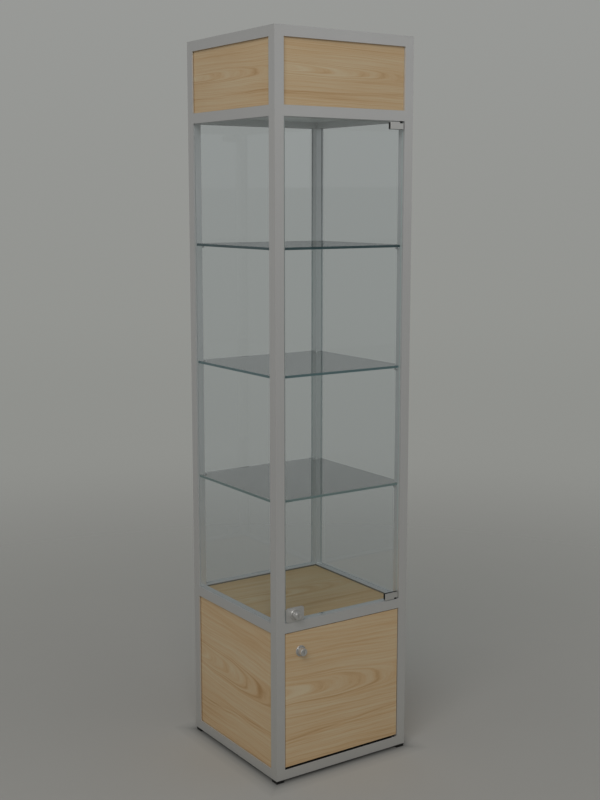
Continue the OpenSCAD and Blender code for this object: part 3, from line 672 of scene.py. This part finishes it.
def floor():
    """A pale floor that fades into the backdrop away from the case, with a painted contact shadow
    around the case and a painted reflection tone.
    """
    mesh = bpy.data.meshes.new("floor")
    shape = bmesh.new()
    bmesh.ops.create_circle(shape, cap_ends=True, segments=128, radius=FLOOR_RADIUS)
    shape.to_mesh(mesh)
    shape.free()
    thing = bpy.data.objects.new("floor", mesh)
    bpy.context.scene.collection.objects.link(thing)
    material, tree = new_tree("floor")
    place = object_coords(tree)
    away = vector_calc(tree, "LENGTH", place, (0, 0, 0), "Value")
    fade = calc(tree, "SMOOTH_MIN", calc(tree, "DIVIDE", away, FADE_RADIUS), 1.0, FADE_SOFTNESS)
    patches = noise(tree, place, FLOOR_PATCH_SCALE, 3)
    tone = ramp(tree, patches, [(0.0, FLOOR_DARK), (1.0, FLOOR_PALE)])
    unsigned = vector_calc(tree, "ABSOLUTE", place, (0, 0, 0))
    spread = add(tree, "ShaderNodeSeparateXYZ", {"Vector": unsigned}).outputs
    # Painted contact shadow: the floor darkens towards and under the case's footprint
    outside = calc(tree, "SUBTRACT", calc(tree, "MAXIMUM", spread["X"], spread["Y"]), case_high.x)
    contact_shadow_place = calc(tree, "MULTIPLY_ADD", outside, 1 / CONTACT_SPAN, 0.5)
    tone = mix_colour(tree, 1.0, tone, grey_ramp(tree, contact_shadow_place, PAINTED_CONTACT_SHADOW), "MULTIPLY")
    # Painted reflection: glossy rays that did not pass through glass see the floor darker and
    # warmer
    painted_reflection = mix_colour(tree, 1.0, tone, FLOOR_PAINTED_REFLECTION, "MULTIPLY")
    path = add(tree, "ShaderNodeLightPath").outputs
    glossy, through_glass = path["Is Glossy Ray"], path["Is Transmission Ray"]
    is_mirrored = calc(tree, "SUBTRACT", glossy, through_glass, clamp=True)
    tone = mix_colour(tree, is_mirrored, tone, painted_reflection)
    solid = principled(
        tree, Base_Color=tone, Roughness=FLOOR_ROUGHNESS, Specular_IOR_Level=FLOOR_SHINE
    )
    empty = add(tree, "ShaderNodeBsdfTransparent").outputs[0]
    output(tree, mix_shader(tree, fade, solid, empty))
    mesh.materials.append(material)


def world():
    """A pale backdrop for the camera, and a soft even sky for light and reflections."""
    sky = bpy.data.worlds.new("studio")
    bpy.context.scene.world = sky
    sky.use_nodes = True
    tree = sky.node_tree
    tree.nodes.clear()
    path = add(tree, "ShaderNodeLightPath").outputs
    seen = calc(tree, "MAXIMUM", path["Is Camera Ray"], path["Is Transmission Ray"])
    direction = add(tree, "ShaderNodeTexCoord").outputs["Generated"]
    up = add(tree, "ShaderNodeSeparateXYZ", {"Vector": direction}).outputs["Z"]
    height = calc(tree, "MULTIPLY_ADD", up, 0.5, 0.5)
    colour = mix_colour(tree, seen, ramp(tree, height, SKY), ramp(tree, height, BACKDROP))
    background = add(tree, "ShaderNodeBackground", {"Color": colour}).outputs[0]
    add(tree, "ShaderNodeOutputWorld", {"Surface": background})


def area_light(name, place, target, size, power, colour=(1, 1, 1)):
    """A rectangular light at a place, aimed at a target."""
    light = bpy.data.lights.new(name, "AREA")
    light.shape = "RECTANGLE"
    light.size, light.size_y = size
    light.energy = power
    light.color = colour
    thing = bpy.data.objects.new(name, light)
    thing.location = place
    aim = Vector(target) - Vector(place)
    thing.rotation_euler = aim.to_track_quat("-Z", "Y").to_euler()
    bpy.context.scene.collection.objects.link(thing)


floor()
world()
area_light("key", (-2.6, -2.55, 3.6), (0, 0, 1.5), (3.0, 2.4), 58, (1.0, 0.985, 0.965))
area_light("fill", (2.8, -2.6, 2.6), (0, 0, 1.0), (3.0, 2.4), 6, (0.97, 0.985, 1.0))
area_light("back", (0.6, 3.4, 4.2), (0, 0, 1.0), (4.0, 3.0), 6)

# ---------------------------------------------------------------- camera

CAMERA_PLACE = (-1.76071, -2.60474, 1.41898)
CAMERA_PITCH = math.radians(-9.123)
CAMERA_YAW = math.radians(34.126)
LENS = 55.943
SENSOR = 36.0
CLIP = (0.05, 60)


def camera():
    """The camera of the photo, as fitted to the case's edges."""
    view = bpy.data.cameras.new("camera")
    view.lens = LENS
    view.sensor_width = SENSOR
    view.clip_start, view.clip_end = CLIP
    thing = bpy.data.objects.new("camera", view)
    thing.location = CAMERA_PLACE
    thing.rotation_euler = (math.pi / 2 + CAMERA_PITCH, 0, -CAMERA_YAW)
    bpy.context.scene.collection.objects.link(thing)
    bpy.context.scene.camera = thing


camera()
bpy.context.scene.view_settings.view_transform = "Standard"
